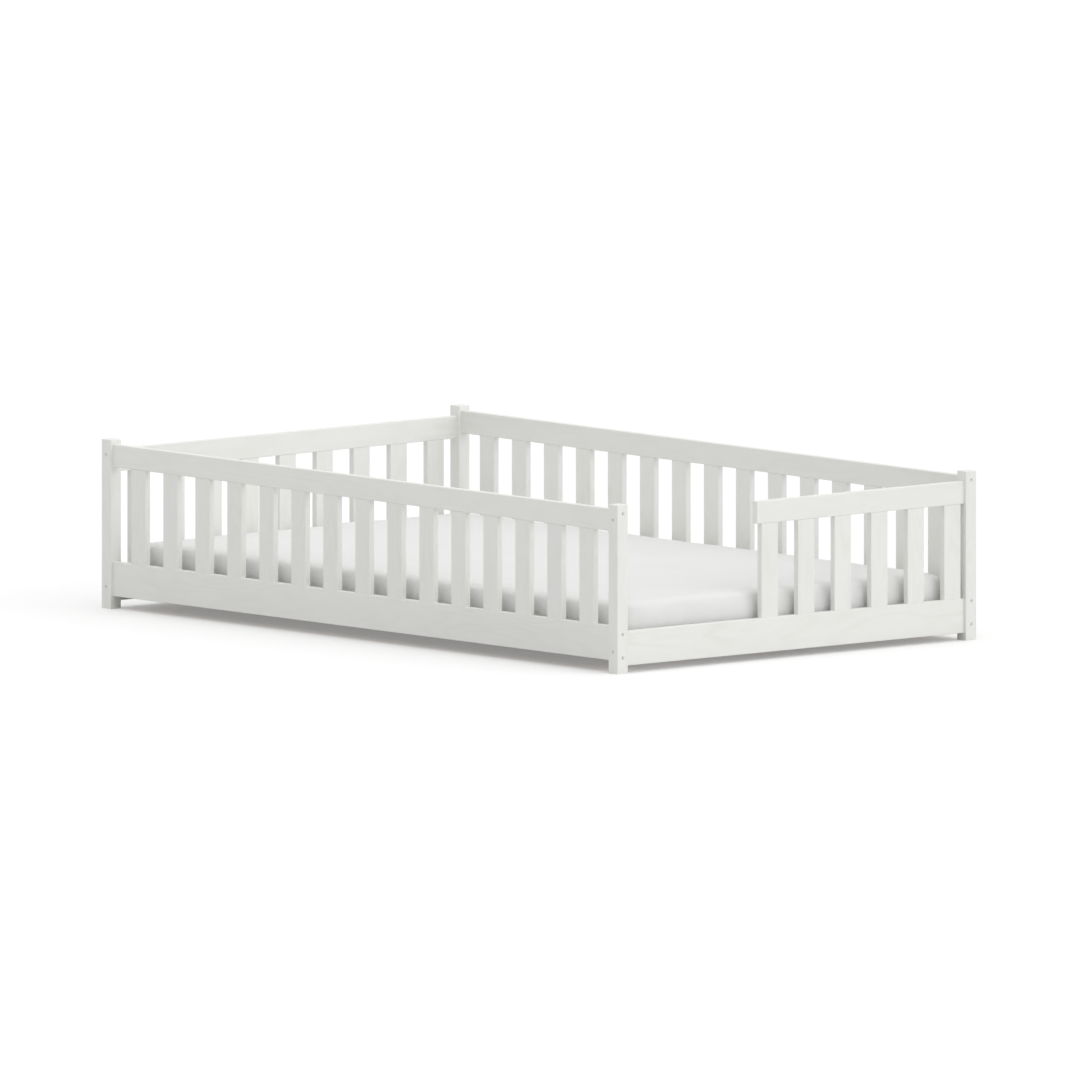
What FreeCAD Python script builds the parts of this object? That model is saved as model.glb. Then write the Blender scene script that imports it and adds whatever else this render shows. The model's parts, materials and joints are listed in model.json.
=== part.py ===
import FreeCAD, Part
import math
import os

# Low floor bed for a child, with a slatted fence and a way in beside a short guard.
# X runs along the bed, the way in is at +X, Z is up and the floor is at zero.
# The origin is on the floor in the middle of the bed. All sizes are in millimetres.

# Mattress
mattress_length = 2000.0
mattress_width = 1160.0
mattress_thickness = 107.0
mattress_end_gap = 8.0
mattress_side_gap = 14.0
mattress_rest_gap = 0.3
mattress_corner_radius = 60.0
mattress_top_radius = 22.0
mattress_low_radius = 18.0
mattress_bulge = 4.0
mattress_crown = 4.0
crown_shares = (0.15, 0.35, 0.60, 0.85)
edge_steps = 5

# Corner posts
post_size = 37.0
post_over = 13.0
post_edge_radius = 2.0

# Rails
rail_thickness = 20.0
top_rail_height = 60.0
bottom_rail_height = 92.0
end_rail_lift = 20.0
rail_stagger = 14.0
rail_edge_radius = 2.0

# Fence slats and their tenons
slat_width = 58.0
slat_thickness = 18.0
slat_show = 253.0
slat_edge_radius = 2.0
long_slat_count = 15
head_slat_count = 9
guard_slat_count = 6
head_end_gap_share = 0.62
guard_gap = 70.4
guard_free_margin = 17.0
guard_post_margin = 10.0
tenon_thickness = 10.0
tenon_shoulder = 8.0
tenon_length = 15.0
joint_clearance = 0.1
blind_room = 1.0

# Frame bolts, barrel nuts with their caps, and dowels
bolt_diameter = 6.0
bolt_head_diameter = 10.0
bolt_head_height = 5.0
bolt_head_sink = 0.5
bolt_socket = 4.0
bolt_socket_depth = 3.0
bolt_clearance = 0.3
bolt_tail = 8.0
nut_diameter = 10.0
nut_length = 13.0
nut_setback = 34.0
nut_cap_thickness = 3.0
nut_cap_sink = 0.2
dowel_diameter = 8.0
dowel_length = 40.0
cap_sleeve_diameter = 8.0
cap_sleeve_length = 15.0
spare_bolt_bite = 10.0

# Heights of bolts and dowels, as shares of the rail that they hold
long_top_bolt_shares = (0.82,)
long_top_dowel_share = 0.33
long_low_bolt_shares = (0.10, 0.78)
long_low_dowel_share = 0.447
end_top_bolt_shares = (0.775,)
end_top_dowel_share = 0.38
end_low_bolt_shares = (0.42,)
end_low_dowel_share = 0.75

# Base under the mattress
ledger_depth = 26.0
ledger_height = 26.0
ledger_end_gap = 46.0
board_width = 70.0
board_thickness = 16.0
board_count = 15
board_end_gap = 2.0
board_inset = 2.0
beam_width = 45.0
beam_height = 38.0
beam_end_gap = 1.0
bracket_thickness = 2.0
bracket_depth = 30.0
bracket_height = 28.0
bracket_flange = 20.0
foot_length = 60.0
foot_head_sink = 2.0

# Wood screws
screw_diameter = 4.0
screw_head_diameter = 8.0
screw_head_height = 2.4
screw_socket = 2.5
screw_socket_depth = 1.6
long_screw_length = 35.0
board_screw_length = 30.0
bracket_screw_length = 14.0

# Cuts run this far past the face that they open
overrun = 5.0

# Sizes that follow
clear_length = mattress_length + 2 * mattress_end_gap
clear_width = mattress_width + 2 * mattress_side_gap
inner_x = clear_length / 2
inner_y = clear_width / 2
outer_x = inner_x + post_size
outer_y = inner_y + post_size
post_x = inner_x + post_size / 2
post_y = inner_y + post_size / 2
rail_in_x = post_x - rail_thickness / 2
rail_in_y = post_y - rail_thickness / 2

end_low_z = end_rail_lift
long_low_z = end_rail_lift + rail_stagger
end_top_z = end_low_z + bottom_rail_height + slat_show
long_top_z = long_low_z + bottom_rail_height + slat_show
post_height = long_top_z + top_rail_height + post_over

long_gap = (clear_length - long_slat_count * slat_width) / (long_slat_count + 1)
head_parts = head_slat_count - 1 + 2 * head_end_gap_share
head_gap = (clear_width - head_slat_count * slat_width) / head_parts
guard_row = guard_slat_count * slat_width + (guard_slat_count - 1) * guard_gap
guard_first_y = inner_y - guard_post_margin - guard_row
guard_free_y = guard_first_y - guard_free_margin

ledger_z = long_low_z
ledger_top = ledger_z + ledger_height
ledger_half = inner_x - ledger_end_gap
base_top = ledger_top + board_thickness
mattress_z = base_top + mattress_rest_gap
board_pitch = (2 * (ledger_half - board_inset) - board_width) / (board_count - 1)
board_half = rail_in_y - board_end_gap
beam_z = ledger_top - beam_height
beam_half = rail_in_x - bracket_thickness - beam_end_gap
bolt_depth = post_size + nut_setback
bolt_length = bolt_depth + bolt_tail

X = FreeCAD.Vector(1, 0, 0)
Y = FreeCAD.Vector(0, 1, 0)
Z = FreeCAD.Vector(0, 0, 1)


def box(x0, x1, y0, y1, z0, z1):
    corner = FreeCAD.Vector(min(x0, x1), min(y0, y1), min(z0, z1))
    return Part.makeBox(abs(x1 - x0), abs(y1 - y0), abs(z1 - z0), corner)


def eased(shape, radius, keep):
    # Rounds the edges for which keep says yes, from each edge's direction and middle.
    edges = []
    for edge in shape.Edges:
        first = edge.Vertexes[0].Point
        last = edge.Vertexes[-1].Point
        if keep(last - first, (first + last) / 2):
            edges.append(edge)
    return shape.makeFillet(radius, edges)


def along(axis):
    return lambda run, middle: run.cross(axis).Length < run.Length / 2


def rod(radius, start, stop, base, direction):
    # A cylinder on the line from base, between two distances along it.
    return Part.makeCylinder(radius, stop - start, base + direction * start, direction)


def hex_rod(flats, start, stop):
    points = []
    for corner in range(7):
        turn = math.radians(60 * corner)
        reach = flats / math.sqrt(3)
        points.append(FreeCAD.Vector(reach * math.cos(turn), reach * math.sin(turn), start))
    return Part.Face(Part.makePolygon(points)).extrude(Z * (stop - start))


def placed(shape, base, direction):
    moved = shape.copy()
    moved.Placement = FreeCAD.Placement(base, FreeCAD.Rotation(Z, direction))
    return moved


def group(shapes):
    return Part.makeCompound(shapes)


def save(shape, node):
    shape.exportStep("parts/" + node + ".step")


# Fasteners, drawn along +Z from the face that they enter

def bolt(length):
    head_end = bolt_head_sink + bolt_head_height
    origin = FreeCAD.Vector(0, 0, 0)
    head = rod(bolt_head_diameter / 2, bolt_head_sink, head_end, origin, Z)
    shank = rod(bolt_diameter / 2, head_end, length, origin, Z)
    socket = hex_rod(bolt_socket, bolt_head_sink - overrun, bolt_head_sink + bolt_socket_depth)
    return head.fuse(shank).removeSplitter().cut(socket)


def bolt_room(length):
    head_end = bolt_head_sink + bolt_head_height
    origin = FreeCAD.Vector(0, 0, 0)
    head = rod(bolt_head_diameter / 2 + bolt_clearance, -overrun, head_end, origin, Z)
    shank = rod(bolt_diameter / 2 + bolt_clearance, head_end, length + blind_room, origin, Z)
    return head.fuse(shank).removeSplitter()


def screw(length):
    origin = FreeCAD.Vector(0, 0, 0)
    head = Part.makeCone(screw_head_diameter / 2, screw_diameter / 2, screw_head_height)
    shank = rod(screw_diameter / 2, screw_head_height, length, origin, Z)
    socket = hex_rod(screw_socket, -overrun, screw_socket_depth)
    return head.fuse(shank).removeSplitter().cut(socket)


def screw_room(length):
    origin = FreeCAD.Vector(0, 0, 0)
    wide = screw_head_diameter / 2 + joint_clearance
    narrow = screw_diameter / 2 + joint_clearance
    mouth = rod(wide, -overrun, 0, origin, Z)
    head = Part.makeCone(wide, narrow, screw_head_height)
    shank = rod(narrow, screw_head_height, length + blind_room, origin, Z)
    return mouth.fuse([head, shank]).removeSplitter()


# Joints between rail ends and posts: the outer face point, the way in and the way to the inside

def rail_end(rail, post, sx, sy, long_rail, low_z, height, bolt_shares, dowel_share):
    if long_rail:
        face = FreeCAD.Vector(sx * outer_x, sy * post_y, low_z)
        way = X * -sx
        inside = Y * -sy
    else:
        face = FreeCAD.Vector(sx * post_x, sy * outer_y, low_z)
        way = Y * -sy
        inside = X * -sx
    bolts = [face + Z * (share * height) for share in bolt_shares]
    dowel = face + Z * (dowel_share * height)
    return {"rail": rail, "post": post, "way": way, "inside": inside, "bolts": bolts, "dowel": dowel}


def post_name(sx, sy):
    end = "entry" if sx > 0 else "head"
    side = "back" if sy > 0 else "front"
    return "post_" + end + "_" + side


joints = []
for sy in (-1, 1):
    side = "back" if sy > 0 else "front"
    for sx in (-1, 1):
        post = post_name(sx, sy)
        joints.append(rail_end(side + "_top_rail", post, sx, sy, True, long_top_z, top_rail_height,
                               long_top_bolt_shares, long_top_dowel_share))
        joints.append(rail_end(side + "_bottom_rail", post, sx, sy, True, long_low_z, bottom_rail_height,
                               long_low_bolt_shares, long_low_dowel_share))
    joints.append(rail_end("head_top_rail", post_name(-1, sy), -1, sy, False, end_top_z, top_rail_height,
                           end_top_bolt_shares, end_top_dowel_share))
    joints.append(rail_end("head_bottom_rail", post_name(-1, sy), -1, sy, False, end_low_z,
                           bottom_rail_height, end_low_bolt_shares, end_low_dowel_share))
    joints.append(rail_end("entry_bottom_rail", post_name(1, sy), 1, sy, False, end_low_z,
                           bottom_rail_height, end_low_bolt_shares, end_low_dowel_share))
joints.append(rail_end("guard_top_rail", post_name(1, 1), 1, 1, False, end_top_z, top_rail_height,
                       end_top_bolt_shares, end_top_dowel_share))

rail_bolts = []
barrel_nuts = []
nut_caps = []
rail_dowels = []
cuts = {}
for joint in joints:
    way = joint["way"]
    inside = joint["inside"]
    taken = cuts.setdefault(joint["rail"], []), cuts.setdefault(joint["post"], [])
    for base in joint["bolts"]:
        rail_bolts.append(placed(bolt(bolt_length), base, way))
        hole = placed(bolt_room(bolt_length), base, way)
        heart = base + way * bolt_depth
        nut = rod(nut_diameter / 2, -nut_length / 2, nut_length / 2, heart, inside)
        cross = rod(bolt_diameter / 2 + joint_clearance, -nut_diameter, nut_diameter, heart, way)
        barrel_nuts.append(nut.cut(cross))
        cap_face = rail_thickness / 2 - nut_cap_sink
        nut_caps.append(rod(nut_diameter / 2, cap_face - nut_cap_thickness, cap_face, heart, inside))
        pocket_end = rail_thickness / 2 + overrun
        pocket_start = -nut_length / 2 - joint_clearance
        pocket = rod(nut_diameter / 2 + joint_clearance, pocket_start, pocket_end, heart, inside)
        taken[0].append(hole)
        taken[0].append(pocket)
        taken[1].append(hole)
    start = post_size - dowel_length / 2
    stop = post_size + dowel_length / 2
    rail_dowels.append(rod(dowel_diameter / 2, start, stop, joint["dowel"], way))
    dowel_hole = rod(dowel_diameter / 2 + joint_clearance, start - blind_room, stop + blind_room,
                     joint["dowel"], way)
    taken[0].append(dowel_hole)
    taken[1].append(dowel_hole)

# The unused guard hole in the post beside the way in, closed by a short bolt and a cap nut

spare_face = FreeCAD.Vector(post_x, -outer_y, end_top_z + end_top_bolt_shares[0] * top_rail_height)
spare_inner = spare_face + Y * post_size
cap_start = bolt_head_sink + bolt_head_height
sleeve_end = cap_start + cap_sleeve_length
spare_length = post_size - sleeve_end + spare_bolt_bite
spare_bolt = placed(bolt(spare_length), spare_face, Y)
cap = bolt(sleeve_end).fuse(rod(cap_sleeve_diameter / 2, cap_start, sleeve_end, FreeCAD.Vector(0, 0, 0), Z))
bore = rod(bolt_diameter / 2 + joint_clearance, cap_start, sleeve_end + overrun, FreeCAD.Vector(0, 0, 0), Z)
spare_cap_nut = placed(cap.removeSplitter().cut(bore), spare_inner, -Y)
sleeve_room = rod(cap_sleeve_diameter / 2 + bolt_clearance, 0, sleeve_end + blind_room, spare_inner, -Y)
spare_post = post_name(1, -1)
cuts[spare_post].append(placed(bolt_room(post_size / 2), spare_face, Y))
cuts[spare_post].append(placed(bolt_room(post_size / 2), spare_inner, -Y))
cuts[spare_post].append(sleeve_room)

# Fence slats with a stub tenon at each end, and the mortises that take them

def slat(centre_x, centre_y, low_z, runs_x):
    half_w = slat_width / 2
    half_t = slat_thickness / 2
    tenon_w = half_w - tenon_shoulder
    tenon_t = tenon_thickness / 2
    high_z = low_z + slat_show
    body = box(-half_w, half_w, -half_t, half_t, low_z, high_z)
    body = eased(body, slat_edge_radius, along(Z))
    tenon = box(-tenon_w, tenon_w, -tenon_t, tenon_t, low_z - tenon_length, high_z + tenon_length)
    room_w = tenon_w + joint_clearance
    room_t = tenon_t + joint_clearance
    reach = tenon_length + blind_room
    room = box(-room_w, room_w, -room_t, room_t, low_z - reach, high_z + reach)
    shapes = [body.fuse(tenon).removeSplitter(), room]
    for shape in shapes:
        if not runs_x:
            shape.rotate(FreeCAD.Vector(0, 0, 0), Z, 90)
        shape.translate(FreeCAD.Vector(centre_x, centre_y, 0))
    return shapes


def row(count, first, gap, place, low_rail, top_rail, low_z, runs_x):
    # A row of slats from the near edge of the first one, with their mortises noted on both rails.
    slats = []
    for number in range(count):
        centre = first + slat_width / 2 + number * (slat_width + gap)
        centre_x, centre_y = (centre, place) if runs_x else (place, centre)
        piece, room = slat(centre_x, centre_y, low_z, runs_x)
        slats.append(piece)
        cuts[low_rail].append(room)
        cuts[top_rail].append(room)
    return slats


long_slat_z = long_low_z + bottom_rail_height
end_slat_z = end_low_z + bottom_rail_height
front_slats = row(long_slat_count, -inner_x + long_gap, long_gap, -post_y,
                  "front_bottom_rail", "front_top_rail", long_slat_z, True)
back_slats = row(long_slat_count, -inner_x + long_gap, long_gap, post_y,
                 "back_bottom_rail", "back_top_rail", long_slat_z, True)
head_slats = row(head_slat_count, -inner_y + head_end_gap_share * head_gap, head_gap, -post_x,
                 "head_bottom_rail", "head_top_rail", end_slat_z, False)
guard_slats = row(guard_slat_count, guard_first_y, guard_gap, post_x,
                  "entry_bottom_rail", "guard_top_rail", end_slat_z, False)

# Base boards on two ledgers and a centre beam

screws = {"long": [], "board": [], "bracket": []}


def drive(kind, length, base, way, nodes):
    screws[kind].append(placed(screw(length), base, way))
    hole = placed(screw_room(length), base, way)
    for node in nodes:
        cuts.setdefault(node, []).append(hole)


boards = []
for number in range(board_count):
    centre = -ledger_half + board_inset + board_width / 2 + number * board_pitch
    boards.append(box(centre - board_width / 2, centre + board_width / 2, -board_half, board_half,
                      ledger_top, base_top))
    for sy in (-1, 1):
        ledger = "ledger_back" if sy > 0 else "ledger_front"
        head = FreeCAD.Vector(centre, sy * (rail_in_y - ledger_depth / 2), base_top)
        drive("board", board_screw_length, head, -Z, ["base_boards_" + str(number), ledger])
        if number % 2 == 0 and number + 1 < board_count:
            head = FreeCAD.Vector(centre + board_pitch / 2, sy * (rail_in_y - ledger_depth),
                                  ledger_z + ledger_height / 2)
            rail = "back_bottom_rail" if sy > 0 else "front_bottom_rail"
            drive("long", long_screw_length, head, Y * sy, [ledger, rail])

ledgers = {}
for sy in (-1, 1):
    name = "ledger_back" if sy > 0 else "ledger_front"
    ledgers[name] = box(-ledger_half, ledger_half, sy * rail_in_y, sy * (rail_in_y - ledger_depth),
                        ledger_z, ledger_top)

beam = box(-beam_half, beam_half, -beam_width / 2, beam_width / 2, beam_z, ledger_top)
foot = box(-foot_length / 2, foot_length / 2, -beam_width / 2, beam_width / 2, 0, beam_z)
drive("long", long_screw_length, FreeCAD.Vector(0, 0, foot_head_sink), Z, ["centre_foot", "centre_beam"])

brackets = {}
for sx in (-1, 1):
    name = "beam_bracket_entry" if sx > 0 else "beam_bracket_head"
    rail = "entry_bottom_rail" if sx > 0 else "head_bottom_rail"
    face = sx * rail_in_x
    plate_in = sx * (rail_in_x - bracket_thickness)
    seat_in = sx * (rail_in_x - bracket_depth)
    half = beam_width / 2 + joint_clearance
    wide = half + bracket_thickness
    seat_z = beam_z - bracket_thickness
    top_z = seat_z + bracket_height
    plate = box(face, plate_in, -wide - bracket_flange, wide + bracket_flange, seat_z, top_z)
    seat = box(face, seat_in, -wide, wide, seat_z, beam_z)
    cheeks = [box(face, seat_in, sy * half, sy * wide, seat_z, top_z) for sy in (-1, 1)]
    brackets[name] = plate.fuse([seat] + cheeks).removeSplitter()
    for sy in (-1, 1):
        head = FreeCAD.Vector(plate_in, sy * (wide + bracket_flange / 2), (seat_z + top_z) / 2)
        drive("bracket", bracket_screw_length, head, X * sx, [name, rail])

# Mattress: rounded rectangles lofted from the flat underside up to the crown

def outline(inset, height):
    # One rounded rectangle of the mattress, drawn in by inset at a height above its underside.
    half_l = mattress_length / 2 - inset
    half_w = mattress_width / 2 - inset
    radius = mattress_corner_radius * half_w / (mattress_width / 2)
    z = mattress_z + height
    edges = []
    for sx, sy in ((1, -1), (1, 1), (-1, 1), (-1, -1)):
        centre = FreeCAD.Vector(sx * (half_l - radius), sy * (half_w - radius), z)
        turn = math.atan2(sy, sx)
        bend = []
        for step in (-1, 0, 1):
            angle = turn + step * math.pi / 4
            bend.append(centre + FreeCAD.Vector(math.cos(angle), math.sin(angle), 0) * radius)
        if edges:
            edges.append(Part.LineSegment(edges[-1].EndPoint, bend[0]))
        edges.append(Part.Arc(bend[0], bend[1], bend[2]))
    edges.append(Part.LineSegment(edges[-1].EndPoint, edges[0].StartPoint))
    return Part.Wire([edge.toShape() for edge in edges])


profile = []
side_low = mattress_low_radius
side_high = mattress_thickness - mattress_crown - mattress_top_radius
for step in range(edge_steps + 1):
    turn = step / edge_steps * math.pi / 2
    inset = mattress_bulge + mattress_low_radius * (1 - math.sin(turn))
    profile.append((inset, mattress_low_radius * (1 - math.cos(turn))))
profile.append((mattress_bulge / 4, side_low + (side_high - side_low) / 4))
profile.append((0, (side_low + side_high) / 2))
profile.append((mattress_bulge / 4, side_high - (side_high - side_low) / 4))
for step in range(edge_steps + 1):
    turn = step / edge_steps * math.pi / 2
    inset = mattress_bulge + mattress_top_radius * (1 - math.cos(turn))
    profile.append((inset, side_high + mattress_top_radius * math.sin(turn)))
edge_inset = mattress_bulge + mattress_top_radius
crown_start = mattress_thickness - mattress_crown
crown_width = mattress_width / 2 - edge_inset
for share in crown_shares:
    rise = (1 - (1 - share) ** 2) / (1 - (1 - crown_shares[-1]) ** 2)
    profile.append((edge_inset + share * crown_width, crown_start + mattress_crown * rise))
mattress = Part.makeLoft([outline(inset, height) for inset, height in profile], True, True)

# Posts and rails, cut for their joints

posts = {}
for sx in (-1, 1):
    for sy in (-1, 1):
        post = box(sx * inner_x, sx * outer_x, sy * inner_y, sy * outer_y, 0, post_height)
        posts[post_name(sx, sy)] = eased(post, post_edge_radius,
                                         lambda run, middle: middle.z > post_edge_radius)

rails = {}
for sy in (-1, 1):
    side = "back" if sy > 0 else "front"
    out_y = sy * (rail_in_y + rail_thickness)
    rails[side + "_top_rail"] = box(-inner_x, inner_x, sy * rail_in_y, out_y,
                                    long_top_z, long_top_z + top_rail_height)
    rails[side + "_bottom_rail"] = box(-inner_x, inner_x, sy * rail_in_y, out_y,
                                       long_low_z, long_low_z + bottom_rail_height)
for name in rails:
    rails[name] = eased(rails[name], rail_edge_radius, along(X))
out_x = rail_in_x + rail_thickness
end_rails = {
    "head_top_rail": box(-rail_in_x, -out_x, -inner_y, inner_y, end_top_z, end_top_z + top_rail_height),
    "head_bottom_rail": box(-rail_in_x, -out_x, -inner_y, inner_y,
                            end_low_z, end_low_z + bottom_rail_height),
    "entry_bottom_rail": box(rail_in_x, out_x, -inner_y, inner_y,
                             end_low_z, end_low_z + bottom_rail_height),
    "guard_top_rail": box(rail_in_x, out_x, guard_free_y, inner_y,
                          end_top_z, end_top_z + top_rail_height),
}
for name in end_rails:
    if name == "guard_top_rail":
        rails[name] = eased(end_rails[name], rail_edge_radius,
                            lambda run, middle: middle.y < inner_y - rail_edge_radius)
    else:
        rails[name] = eased(end_rails[name], rail_edge_radius, along(Y))

os.makedirs("parts", exist_ok=True)
for pieces in (posts, rails, ledgers, brackets):
    for name in pieces:
        save(pieces[name].cut(cuts[name]), name)
for name, pieces in (("front_slat_", front_slats), ("head_slat_", head_slats), ("guard_slat_", guard_slats)):
    for number, piece in enumerate(pieces):
        save(piece, name + str(number + 1).zfill(2))
save(group(back_slats), "back_slats")
drilled = [board.cut(cuts["base_boards_" + str(number)]) for number, board in enumerate(boards)]
save(group(drilled), "base_boards")
save(beam.cut(cuts["centre_beam"]), "centre_beam")
save(foot.cut(cuts["centre_foot"]), "centre_foot")
save(mattress, "mattress")
save(group(rail_bolts), "rail_bolts")
save(group(barrel_nuts), "barrel_nuts")
save(group(nut_caps), "nut_caps")
save(group(rail_dowels), "rail_dowels")
save(group(screws["long"]), "long_screws")
save(group(screws["board"]), "board_screws")
save(group(screws["bracket"]), "bracket_screws")
save(spare_bolt, "spare_bolt")
save(spare_cap_nut, "spare_cap_nut")

print("outside", 2 * outer_x, 2 * outer_y, post_height)
print("way in", guard_free_y + inner_y, "slat gaps", long_gap, head_gap, guard_gap)
print("mattress", mattress.isValid(), mattress.Volume, "top", mattress_z + mattress_thickness)
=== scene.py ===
# %% [markdown]
# # A low slatted bed for a child
# The bed is a fence of white-painted pine round a low mattress. Its wooden and steel pieces come
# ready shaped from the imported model, so this lesson gives them their finishes and adds what a solid
# model can't show: the soft mattress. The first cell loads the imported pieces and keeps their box,
# because nothing made here may make the bed larger.

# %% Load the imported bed
import json
import math

import bmesh
import bpy
import numpy as np
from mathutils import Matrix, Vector, noise as solid_noise


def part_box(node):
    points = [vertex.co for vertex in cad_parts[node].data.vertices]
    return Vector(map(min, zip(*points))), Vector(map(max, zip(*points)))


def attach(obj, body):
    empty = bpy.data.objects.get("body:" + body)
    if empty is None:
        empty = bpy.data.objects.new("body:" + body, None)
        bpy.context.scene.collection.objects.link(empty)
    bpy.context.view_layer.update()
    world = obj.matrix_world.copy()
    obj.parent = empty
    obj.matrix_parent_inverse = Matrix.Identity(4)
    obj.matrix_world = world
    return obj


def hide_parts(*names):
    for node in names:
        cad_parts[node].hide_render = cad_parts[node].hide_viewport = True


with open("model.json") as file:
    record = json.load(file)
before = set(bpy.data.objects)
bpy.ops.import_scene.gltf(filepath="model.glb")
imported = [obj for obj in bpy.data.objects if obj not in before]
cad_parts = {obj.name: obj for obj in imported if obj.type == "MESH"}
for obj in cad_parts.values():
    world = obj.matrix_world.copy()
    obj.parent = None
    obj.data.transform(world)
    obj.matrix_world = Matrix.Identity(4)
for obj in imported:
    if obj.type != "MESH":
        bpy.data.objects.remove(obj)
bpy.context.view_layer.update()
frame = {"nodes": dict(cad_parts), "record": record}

scene = bpy.context.scene
nodes = frame["nodes"]

# %% [markdown]
# ## The camera
# The picture is a parallel view: the far rails are as long as the near ones. A perspective lens with
# a long focal length comes close to that, but an orthographic camera gives it exactly, and then
# one number, the width of the view in metres, sets the scale.

# %% Set up the camera
view_turn = math.radians(49.05)
view_rise = math.radians(6.44)
view_width = 2.867
view_aim = Vector((0.0017, 0.0020, 0.2239))
view_distance = 20.0
view_end = 60.0

back = Vector((math.sin(view_turn) * math.cos(view_rise),
               -math.cos(view_turn) * math.cos(view_rise),
               math.sin(view_rise)))
camera_data = bpy.data.cameras.new("camera")
camera_data.type = "ORTHO"
camera_data.ortho_scale = view_width
camera_data.clip_end = view_end
camera = bpy.data.objects.new("camera", camera_data)
scene.collection.objects.link(camera)
camera.location = view_aim + back * view_distance
camera.rotation_euler = back.to_track_quat("Z", "Y").to_euler()
scene.camera = camera
print("camera at", [round(v, 3) for v in camera.location])

# %% [markdown]
# ## Light and floor
# White paint on a white ground needs light that still tells one side from another. Strong lamps would
# do that too, but they clip the tops and throw hard shadows. Here a soft world, brighter overhead,
# fills every side, and one wide lamp from the right and behind lifts the end faces a shade above
# the long ones. The floor is pale and keeps the bed's shadow. To the camera and in reflections it
# glows a little as well, so it reads as white without more light falling on the bed.

# %% Small helpers for node trees
def plug(tree, node, inputs):
    # A socket is linked, and a plain value is set.
    for name, value in inputs.items():
        if isinstance(value, bpy.types.NodeSocket):
            tree.links.new(value, node.inputs[name])
        else:
            node.inputs[name].default_value = value


def add(tree, kind, inputs=None, **settings):
    made = tree.nodes.new("ShaderNode" + kind)
    for name, value in settings.items():
        setattr(made, name, value)
    plug(tree, made, inputs or {})
    return made


def maths(tree, operation, first, second=0.0):
    return add(tree, "Math", {0: first, 1: second}, operation=operation).outputs[0]


def ranged(tree, value, low, high, to_low=0.0, to_high=1.0):
    return add(tree, "MapRange", {"Value": value, "From Min": low, "From Max": high,
                                  "To Min": to_low, "To Max": to_high}).outputs["Result"]


def seen_directly(tree):
    # 1 for rays from the camera, off a glossy face or through glass, and 0 for all others.
    path = add(tree, "LightPath").outputs
    either = maths(tree, "MAXIMUM", path["Is Camera Ray"], path["Is Glossy Ray"])
    return maths(tree, "MAXIMUM", either, path["Is Transmission Ray"])


# %% Make the world and the lamp
scene.view_settings.view_transform = "Standard"
plain_white = (1, 1, 1, 1)
side_fill = 0.376
top_fill = 1.241
shown_level = 1.0
lamp_from = Vector((0.852, 0.310, 0.423))
lamp_level = 0.246
lamp_spread = math.radians(60)

world = bpy.data.worlds.new("studio")
world.use_nodes = True
scene.world = world
tree = world.node_tree
tree.nodes.clear()
height = add(tree, "SeparateXYZ", {0: add(tree, "TexCoord").outputs["Generated"]}).outputs["Z"]
level = ranged(tree, height, 0.0, 1.0, side_fill, top_fill)
fill = add(tree, "Background", {"Color": plain_white, "Strength": level})
shown = add(tree, "Background", {"Color": plain_white, "Strength": shown_level})
mix = add(tree, "MixShader", {0: seen_directly(tree), 1: fill.outputs[0], 2: shown.outputs[0]})
add(tree, "OutputWorld", {"Surface": mix.outputs[0]})

lamp_data = bpy.data.lights.new("right lamp", "SUN")
lamp_data.energy = lamp_level * math.pi
lamp_data.angle = lamp_spread
lamp = bpy.data.objects.new("right lamp", lamp_data)
scene.collection.objects.link(lamp)
lamp.rotation_euler = lamp_from.to_track_quat("Z", "Y").to_euler()
print("fill", side_fill, "to", top_fill, "with one lamp at", lamp_level)

# %% Make the floor
floor_half = 40.0
floor_colour = (0.75, 0.75, 0.75, 1)
floor_glow = 0.24

shape = bmesh.new()
bmesh.ops.create_grid(shape, x_segments=1, y_segments=1, size=floor_half)
floor_mesh = bpy.data.meshes.new("floor")
shape.to_mesh(floor_mesh)
shape.free()
floor = bpy.data.objects.new("floor", floor_mesh)
scene.collection.objects.link(floor)

floor_paint = bpy.data.materials.new("pale floor")
floor_paint.use_nodes = True
tree = floor_paint.node_tree
tree.nodes.clear()
matt = add(tree, "BsdfDiffuse", {"Color": floor_colour})
strength = maths(tree, "MULTIPLY", seen_directly(tree), floor_glow)
glow = add(tree, "Emission", {"Color": plain_white, "Strength": strength})
both = add(tree, "AddShader", {0: matt.outputs[0], 1: glow.outputs[0]})
add(tree, "OutputMaterial", {"Surface": both.outputs[0]})
floor_mesh.materials.append(floor_paint)
print("floor", 2 * floor_half, "m square")

# %% [markdown]
# ## Finishes
# Every finish starts from the standard surface shader and a few patterns: a noise, a cell pattern, a
# blend of two colours and a bump. The patterns lie on the piece's own coordinates, so they stay
# with it when it moves, and a pattern that is stretched one way makes grain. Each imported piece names
# the slot of its finish, and that is how a finish finds its pieces.

# %% Small helpers for finishes
slots = {piece["node"]: piece["material_slot"] for piece in frame["record"]["subparts"]}


def start_finish(name):
    finish = bpy.data.materials.new(name)
    finish.use_nodes = True
    return finish, finish.node_tree, finish.node_tree.nodes["Principled BSDF"]


def stretched(tree, run, along, across):
    # Coordinates with so many features to the metre along the run and across it.
    coords = add(tree, "TexCoord").outputs["Object"]
    scale = [across, across, across]
    scale["XYZ".index(run)] = along
    return add(tree, "Mapping", {"Vector": coords, "Scale": scale}).outputs[0]


def noise(tree, vector, detail=2.0, roughness=0.5):
    return add(tree, "TexNoise", {"Vector": vector, "Scale": 1.0, "Detail": detail,
                                  "Roughness": roughness}).outputs["Fac"]


def cells(tree, vector):
    # A random number for each cell, and the distance from its middle.
    pattern = add(tree, "TexVoronoi", {"Vector": vector, "Scale": 1.0}).outputs
    chance = add(tree, "SeparateColor", {"Color": pattern["Color"]}).outputs[0]
    return chance, pattern["Distance"]


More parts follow.
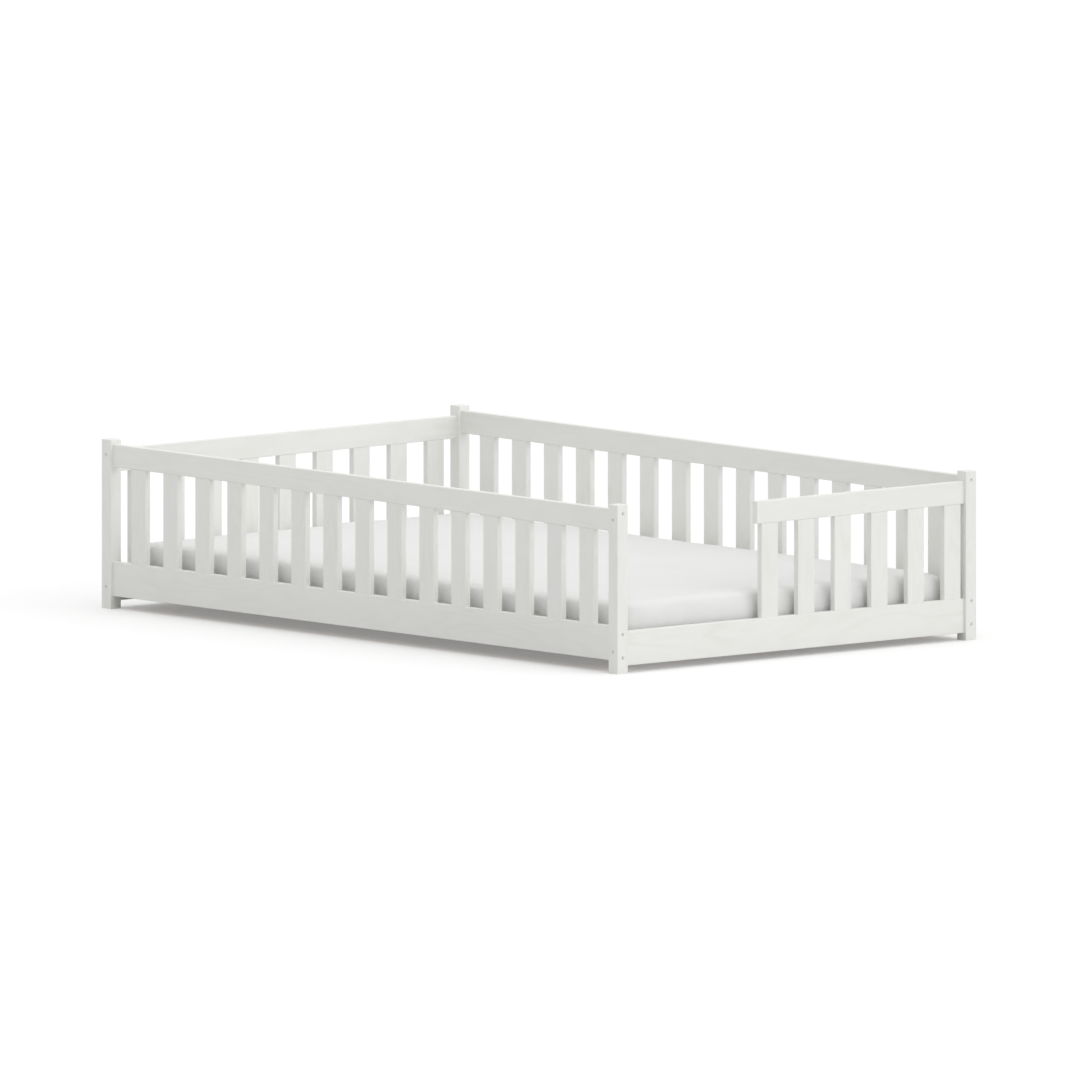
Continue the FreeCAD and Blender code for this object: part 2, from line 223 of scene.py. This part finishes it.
def blend(tree, factor, first, second):
    # The mix node's colour sockets are its inputs 6 and 7 and its output 2.
    return add(tree, "Mix", {"Factor": factor, 6: first, 7: second}, data_type="RGBA").outputs[2]


def bump(tree, height, strength, distance):
    return add(tree, "Bump", {"Height": height, "Strength": strength,
                              "Distance": distance}).outputs[0]


def dress(slot, pick):
    # Gives each piece of the slot the material that pick(name) returns.
    names = [name for name in nodes if slots[name] == slot]
    for name in names:
        for holder in nodes[name].material_slots:
            holder.material = pick(name)
    return names


print("slots", sorted(set(slots.values())))

# %% [markdown]
# ### Wood figure
# A board shows three things: fine fibres along its length, the wider loops of its growth rings, and
# a knot here and there that the rings flow round. A photograph of a board could be mapped on,
# but a procedural figure has no seams and differs on every piece. Here a noise that is stretched
# along the board is cut into contour lines by a sine, which draws the loops, and a sparse cell
# pattern makes the knots.

# %% Build the wood figure
# A grain is two scales: features to the metre along the board, then across it.
knot_grain = 3.2, 5.5
knot_rarity = 0.55
knot_core, knot_rim = 0.035, 0.085
knot_reach = 0.32
knot_bend = 0.16
ring_grain = 1.7, 11.0
ring_lines = 75.0
ring_start = -0.2
fibre_grain = 9.0, 330.0


def wood_figure(tree, run):
    chance, distance = cells(tree, stretched(tree, run, *knot_grain))
    rare = maths(tree, "GREATER_THAN", chance, knot_rarity)
    heart = ranged(tree, distance, knot_core, knot_rim, 1.0, 0.0)
    pull = ranged(tree, distance, 0.0, knot_reach, 1.0, 0.0)
    knots = maths(tree, "MULTIPLY", heart, rare)
    bend = maths(tree, "MULTIPLY", maths(tree, "MULTIPLY", pull, pull), rare)
    broad = noise(tree, stretched(tree, run, *ring_grain), detail=1.5, roughness=0.4)
    field = maths(tree, "ADD", broad, maths(tree, "MULTIPLY", bend, knot_bend))
    wave = maths(tree, "SINE", maths(tree, "MULTIPLY", field, ring_lines))
    rings = ranged(tree, wave, ring_start, 1.0)
    fibres = noise(tree, stretched(tree, run, *fibre_grain), detail=3.0, roughness=0.6)
    return rings, fibres, knots


def grain_run(name):
    if name.startswith(("post_", "front_slat", "head_slat", "guard_slat", "back_slats")):
        return "Z"
    if name.startswith(("head_", "entry_", "guard_", "base_boards")):
        return "Y"
    return "X"


# %% [markdown]
# ### White paint
# The visible wood is sprayed with a thin satin white that leans a little to warm green. The paint
# hides the wood's colour, but the soft early wood sinks under it and the hard late wood stands up, so
# the figure shows as a very faint relief and a shade or two of grey. Knots shine through as pale
# yellow, and no two boards take the paint quite alike. Each run of grain gets its own material,
# because posts, long rails and end rails lie three different ways.

# %% Paint the posts, rails and slats
paint_colour = (0.845, 0.849, 0.815, 1)
paint_cool = (0.829, 0.829, 0.812, 1)
paint_thin = (0.780, 0.780, 0.734, 1)
paint_knot = (0.760, 0.725, 0.615, 1)
paint_specular = 0.35
knot_show = 0.40
ring_relief, fibre_relief = 0.5, 0.8
cloud_grain = 2.5, 9.0
board_grain = 0.5, 7.0
blotch_grain = 7.0, 19.0
# A span is the stretch of a pattern that counts, then the two values that it becomes.
board_span = 0.32, 0.68, 0.0, 1.0
blotch_span = 0.48, 0.78, 0.0, 0.32
thin_span = 0.35, 0.70, 0.06, 0.38
streak_span = 0.42, 0.72, 0.0, 0.20
paint_gloss_span = 0.30, 0.70, 0.40, 0.52


def white_paint(run):
    paint, tree, shader = start_finish("white paint, grain along " + run)
    rings, fibres, knots = wood_figure(tree, run)
    cloud = noise(tree, stretched(tree, run, *cloud_grain))
    board = ranged(tree, noise(tree, stretched(tree, run, *board_grain), detail=0.0), *board_span)
    blotch = ranged(tree, noise(tree, stretched(tree, run, *blotch_grain)), *blotch_span)
    thin = maths(tree, "MULTIPLY", rings, ranged(tree, cloud, *thin_span))
    streak = ranged(tree, fibres, *streak_span)
    depth = maths(tree, "ADD", maths(tree, "ADD", thin, streak), blotch)
    coat = blend(tree, board, paint_colour, paint_cool)
    tone = blend(tree, depth, coat, paint_thin)
    stain = blend(tree, maths(tree, "MULTIPLY", knots, knot_show), tone, paint_knot)
    relief = maths(tree, "ADD", maths(tree, "MULTIPLY", rings, ring_relief),
                   maths(tree, "MULTIPLY", fibres, fibre_relief))
    plug(tree, shader, {"Base Color": stain,
                        "Roughness": ranged(tree, cloud, *paint_gloss_span),
                        "Specular IOR Level": paint_specular,
                        "Normal": bump(tree, relief, strength=0.30, distance=0.0004)})
    return paint


paints = {run: white_paint(run) for run in "XYZ"}
painted = dress("white_paint", lambda name: paints[grain_run(name)])
print("painted", len(painted), "nodes")

# %% [markdown]
# ### Bare pine
# The base under the mattress is never painted. Planed pine is pale yellow with darker late wood
# and brown knots, and it is matt. The same figure serves, with stronger colours.

# %% Leave the base boards, ledgers, beam and foot bare
pine_light = (0.760, 0.585, 0.375, 1)
pine_dark = (0.600, 0.395, 0.205, 1)
pine_knot = (0.270, 0.135, 0.060, 1)
pine_knot_show = 0.8
pine_ring_share = 0.45
pine_fibre_span = 0.40, 0.75, 0.0, 0.35
pine_gloss_span = 0.30, 0.70, 0.52, 0.68


def bare_pine(run):
    pine, tree, shader = start_finish("bare pine, grain along " + run)
    rings, fibres, knots = wood_figure(tree, run)
    depth = maths(tree, "ADD", maths(tree, "MULTIPLY", rings, pine_ring_share),
                  ranged(tree, fibres, *pine_fibre_span))
    tone = blend(tree, depth, pine_light, pine_dark)
    stain = blend(tree, maths(tree, "MULTIPLY", knots, pine_knot_show), tone, pine_knot)
    plug(tree, shader, {"Base Color": stain,
                        "Roughness": ranged(tree, fibres, *pine_gloss_span),
                        "Normal": bump(tree, depth, strength=0.35, distance=0.0005)})
    return pine


pines = {run: bare_pine(run) for run in "XY"}
bare = dress("bare_pine", lambda name: pines[grain_run(name)])
print("bare pine", len(bare), "nodes")

# %% [markdown]
# ### Zinc-plated steel
# Bolts, nuts, screws and brackets are zinc plated: a soft grey metal with patches that shine a
# little differently. A cell pattern gives the patches and moves only the roughness and a trace of
# colour.

# %% Plate the fittings
zinc_light = (0.700, 0.694, 0.672, 1)
zinc_dark = (0.610, 0.606, 0.588, 1)
patches_per_metre = 900.0
zinc_gloss_span = 0.0, 1.0, 0.34, 0.50

zinc, tree, shader = start_finish("zinc plated steel")
patch = cells(tree, stretched(tree, "X", patches_per_metre, patches_per_metre))[0]
plug(tree, shader, {"Base Color": blend(tree, patch, zinc_light, zinc_dark),
                    "Roughness": ranged(tree, patch, *zinc_gloss_span),
                    "Metallic": 1.0})
fittings = dress("zinc_steel", lambda name: zinc)
print("plated", len(fittings), "nodes")

# %% [markdown]
# ### Cover caps
# The barrel nuts in the rails are hidden behind small white caps. They are moulded plastic: smoother
# than the paint and with no grain, only a faint unevenness in the gloss.

# %% Mould the caps
cap_white = (0.835, 0.838, 0.800, 1)
haze_per_metre = 250.0
cap_gloss_span = 0.30, 0.70, 0.30, 0.42

plastic, tree, shader = start_finish("white moulded plastic")
haze = noise(tree, stretched(tree, "X", haze_per_metre, haze_per_metre))
plug(tree, shader, {"Base Color": cap_white,
                    "Roughness": ranged(tree, haze, *cap_gloss_span),
                    "Normal": bump(tree, haze, strength=0.15, distance=0.0002)})
caps = dress("white_cap", lambda name: plastic)
print("capped", caps)

# %% [markdown]
# ## The mattress
# A foam mattress in a cotton cover has no hard edge anywhere: the top edge rolls over, the sides
# stand nearly upright with a slight swell, and along the rim the cover waves and folds a little. It
# could be sculpted by hand, but a cloth simulation finds the swell by itself. A block with rounded
# edges is remeshed into even squares, and then the cover is blown up slightly from inside.

# %% Rough out the mattress block
low, high = (Vector(corner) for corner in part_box("mattress"))
corner_radius, corner_steps = 0.058, 8
top_radius, top_steps = 0.0185, 6
low_radius, low_steps = 0.017, 4
flat_test = 0.9

shape = bmesh.new()
bmesh.ops.create_cube(shape, size=1.0)
size = high - low
bmesh.ops.scale(shape, vec=size, verts=shape.verts)
bmesh.ops.translate(shape, vec=(low + high) / 2, verts=shape.verts)


def roll(edges, offset, segments):
    bmesh.ops.bevel(shape, geom=edges, offset=offset, affect="EDGES", segments=segments, profile=0.5,
                    material=-1)
    shape.normal_update()


def rim(direction):
    faces = [face for face in shape.faces if face.normal.z * direction > flat_test]
    return list(faces[0].edges)


def rises(edge):
    return abs((edge.verts[0].co - edge.verts[1].co).z) > size.z / 2


shape.normal_update()
roll([edge for edge in shape.edges if rises(edge)], corner_radius, corner_steps)
roll(rim(1), top_radius, top_steps)
roll(rim(-1), low_radius, low_steps)
cover_mesh = bpy.data.meshes.new("mattress_cover")
shape.to_mesh(cover_mesh)
shape.free()
cover = bpy.data.objects.new("mattress_cover", cover_mesh)
scene.collection.objects.link(cover)
print("block", [round(v, 3) for v in size])

# %% Remesh it into even squares
voxel = 0.0155


def take_result(piece):
    # Puts the shape that the modifiers give into the mesh itself, and removes them.
    graph = bpy.context.evaluated_depsgraph_get()
    made = bpy.data.meshes.new_from_object(piece.evaluated_get(graph))
    made.name = piece.name
    piece.modifiers.clear()
    piece.data = made


def points(mesh):
    flat = np.empty(3 * len(mesh.vertices))
    mesh.vertices.foreach_get("co", flat)
    return flat.reshape(-1, 3)


def put_points(mesh, at):
    mesh.vertices.foreach_set("co", at.ravel())
    mesh.update()


remesh = cover.modifiers.new("squares", "REMESH")
remesh.mode = "VOXEL"
remesh.voxel_size = voxel
take_result(cover)
print("squares", len(cover.data.polygons))

# %% [markdown]
# ### What the foam holds
# In the real thing the foam fills the cover, so the cover can only lift off a little. A vertex group
# stands for that. It says how firmly the foam holds each point: fully underneath, firmly in the
# middle of the top, and more loosely at the rim and the sides.

# %% Weigh the points of the cover
underside_height = 0.012
middle_hold = 0.70
side_hold = 0.30
hold_ramp = 0.12


def edge_distance(at):
    return np.minimum(high.x - np.abs(at[:, 0]), high.y - np.abs(at[:, 1]))


at = points(cover.data)
ramp = np.clip(edge_distance(at) / hold_ramp, 0.0, 1.0)
hold_weights = side_hold + (middle_hold - side_hold) * ramp * ramp * (3.0 - 2.0 * ramp)
hold_weights[at[:, 2] < low.z + underside_height] = 1.0
held = cover.vertex_groups.new(name="held")
for number, weight in enumerate(hold_weights):
    held.add([number], float(weight), "REPLACE")
print("held fully", int((hold_weights == 1.0).sum()), "of", len(at), "points")

# %% Blow up the cover
blow_frames = 20
blow_pressure = 4.0
cover_bending = 1.0
most_moved = 0.005


def blow_up(piece):
    cloth = piece.modifiers.new("blown", "CLOTH")
    cloth.settings.use_pressure = True
    cloth.settings.uniform_pressure_force = blow_pressure
    cloth.settings.bending_stiffness = cover_bending
    cloth.settings.vertex_group_mass = "held"
    cloth.settings.effector_weights.gravity = 0.0
    cloth.collision_settings.use_collision = False
    for number in range(1, blow_frames + 1):
        scene.frame_set(number)
    graph = bpy.context.evaluated_depsgraph_get()
    blown = points(piece.evaluated_get(graph).data)
    piece.modifiers.clear()
    scene.frame_set(1)
    return blown


move = blow_up(cover) - at
moved = np.linalg.norm(move, axis=1)
print("swells by up to", round(float(moved.max()), 4),
      "and", round(float(moved.mean()), 4), "on average")
move *= (most_moved / np.maximum(moved, most_moved))[:, None]
put_points(cover.data, at + move)

# %% [markdown]
# ### Ripples and folds
# A sewn cover never lies quite even. Its rim waves, its sides have shallow upright dimples, and here
# and there the top has a low fold near the edge. These are finer than the squares of the simulation,
# so the result is divided once more. At the back and at the head end the foam has given way a
# little, so the top falls off there. Then each point is moved along its normal by a smooth noise,
# which is the same on every run. The noise leans inwards, because the rails leave little room.

# %% Divide the cover once more
subdivide = cover.modifiers.new("soften", "SUBSURF")
subdivide.levels = 1
subdivide.render_levels = 1
take_result(cover)
print("divided into", len(cover.data.polygons))

# %% Let the far edges fall off
back_fall, back_reach = 0.0110, 0.130
head_fall, head_reach = 0.0144, 0.170


def near(distance, reach):
    return np.clip(1.0 - distance / reach, 0.0, 1.0) ** 2


at = points(cover.data)
fall = np.hypot(back_fall * near(high.y - at[:, 1], back_reach),
                head_fall * near(at[:, 0] - low.x, head_reach))
at[:, 2] -= fall * (at[:, 2] - low.z) / (high.z - low.z)
put_points(cover.data, at)
print("far edges fall by up to", round(float(fall.max()), 4))

# %% Ripple the rim and fold the top
rim_reach = 0.070
rim_wave, rim_depth = 0.10, 0.0034
pucker_wave, pucker_depth = 0.045, 0.0026
dimple_wave, dimple_depth = 0.040, 0.0026
dimple_squash = 0.2
side_slope = 0.7
top_slope = 0.5
inward = 0.35
proud = 0.002
# Each fold: its middle, the way it runs, half its length, half its width and its height.
folds = [((0.948, -0.100), 84, 0.055, 0.016, 0.0042), ((0.900, -0.440), 60, 0.022, 0.013, 0.0030),
         ((0.925, -0.300), 100, 0.045, 0.014, -0.0024), ((0.905, 0.360), 70, 0.070, 0.016, 0.0030),
         ((-0.930, 0.150), 95, 0.065, 0.016, 0.0036), ((-0.900, -0.400), 112, 0.050, 0.014, -0.0024),
         ((0.350, -0.520), 8, 0.070, 0.015, -0.0024), ((-0.420, 0.515), -6, 0.080, 0.016, 0.0032)]


def fold_at(x, y):
    total = 0.0
    for (middle_x, middle_y), way, half_length, half_width, rise in folds:
        turn = math.radians(way)
        along = (x - middle_x) * math.cos(turn) + (y - middle_y) * math.sin(turn)
        across = (y - middle_y) * math.cos(turn) - (x - middle_x) * math.sin(turn)
        total += rise * math.exp(-(along / half_length) ** 2 - (across / half_width) ** 2)
    return total


def ripple(spot, wave):
    return solid_noise.noise(spot / wave) - inward


at = points(cover.data)
normals = np.array([vertex.normal for vertex in cover.data.vertices])
from_crest = np.hypot(np.maximum(edge_distance(at), 0.0), high.z - at[:, 2])
rim_weight = np.clip(1.0 - from_crest / rim_reach, 0.0, 1.0)
side_weight = np.clip(1.0 - np.abs(normals[:, 2]) / side_slope, 0.0, 1.0)
lift = np.zeros(len(at))
for number, (x, y, z) in enumerate(at):
    if rim_weight[number] > 0.0:
        spot = Vector((x, y, z))
        waves = rim_depth * ripple(spot, rim_wave) + pucker_depth * ripple(spot, pucker_wave)
        lift[number] += rim_weight[number] * waves
    if side_weight[number] > 0.0:
        spot = Vector((x, y, dimple_squash * z))
        lift[number] += side_weight[number] * dimple_depth * ripple(spot, dimple_wave)
    if normals[number][2] > top_slope:
        lift[number] += fold_at(x, y)
at = at + normals * lift[:, None]
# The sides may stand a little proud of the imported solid, and nothing goes below it.
room = np.array((proud, proud, 0.0))
at = np.maximum(at, np.array(low) - room)
at[:, :2] = np.minimum(at[:, :2], (np.array(high) + room)[:2])
put_points(cover.data, at)
print("ripples from", round(float(lift.min()), 4), "to", round(float(lift.max()), 4))

# %% [markdown]
# ### The seam
# Low on the sides, where the rails hide it, the top of the cover is sewn to its base. A drawn line
# would stay flat in the light, so the seam is cut into the mesh. Three level cuts give it a middle
# and two edges, and the middle is drawn in.

# %% Draw in the seam
seam_height = low.z + 0.030
seam_half = 0.0022
seam_depth = 0.0018

shape = bmesh.new()
shape.from_mesh(cover.data)
for offset in (-seam_half, 0.0, seam_half):
    cut = bmesh.ops.bisect_plane(shape, geom=shape.verts[:] + shape.edges[:] + shape.faces[:],
                                 plane_co=(0.0, 0.0, seam_height + offset),
                                 plane_no=(0.0, 0.0, 1.0))
    if offset == 0.0:
        seam = {item for item in cut["geom_cut"] if isinstance(item, bmesh.types.BMVert)}
shape.normal_update()
for point in seam:
    point.co -= point.normal * seam_depth
shape.to_mesh(cover.data)
shape.free()
print("seam of", len(seam), "points")

# %% [markdown]
# ### Cotton
# The cover is a plain woven cotton. Its threads are about a millimetre apart, far finer than the
# mesh, so they are bump alone: a wave along each axis, of which any face shows two that cross. A
# broad cloud shifts the white by a shade, as washed cotton does, and a trace of sheen stands for
# the fuzz.

# %% Weave the cotton
cotton_light = (0.822, 0.822, 0.818, 1)
cotton_dark = (0.788, 0.788, 0.784, 1)
cotton_specular = 0.2
cotton_sheen = 0.08
threads_per_metre = 900.0
wash_per_metre = 5.0
slub_grain = 60.0, 260.0
wash_span = 0.30, 0.75, 0.0, 0.65
slub_span = 0.35, 0.75, 0.0, 0.25
cotton_gloss_span = 0.30, 0.70, 0.82, 0.94

cotton, tree, shader = start_finish("white woven cotton")
place = add(tree, "SeparateXYZ", {0: add(tree, "TexCoord").outputs["Object"]}).outputs
waves = []
for axis in "XYZ":
    turn = maths(tree, "MULTIPLY", place[axis], threads_per_metre * 2.0 * math.pi)
    waves.append(maths(tree, "SINE", turn))
threads = maths(tree, "ADD", maths(tree, "ADD", waves[0], waves[1]), waves[2])
wash = noise(tree, stretched(tree, "X", wash_per_metre, wash_per_metre), detail=4.0, roughness=0.6)
slub = noise(tree, stretched(tree, "X", *slub_grain))
shade = maths(tree, "ADD", ranged(tree, wash, *wash_span), ranged(tree, slub, *slub_span))
plug(tree, shader, {"Base Color": blend(tree, shade, cotton_light, cotton_dark),
                    "Roughness": ranged(tree, slub, *cotton_gloss_span),
                    "Specular IOR Level": cotton_specular,
                    "Sheen Weight": cotton_sheen,
                    "Normal": bump(tree, threads, strength=0.25, distance=0.0002)})
print("cotton with", round(1000.0 / threads_per_metre, 2), "mm threads")

for face in cover.data.polygons:
    face.use_smooth = True
cover.data.materials.append(cotton)
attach(cover, "mattress")
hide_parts("mattress")
print("mattress", len(cover.data.polygons), "faces")
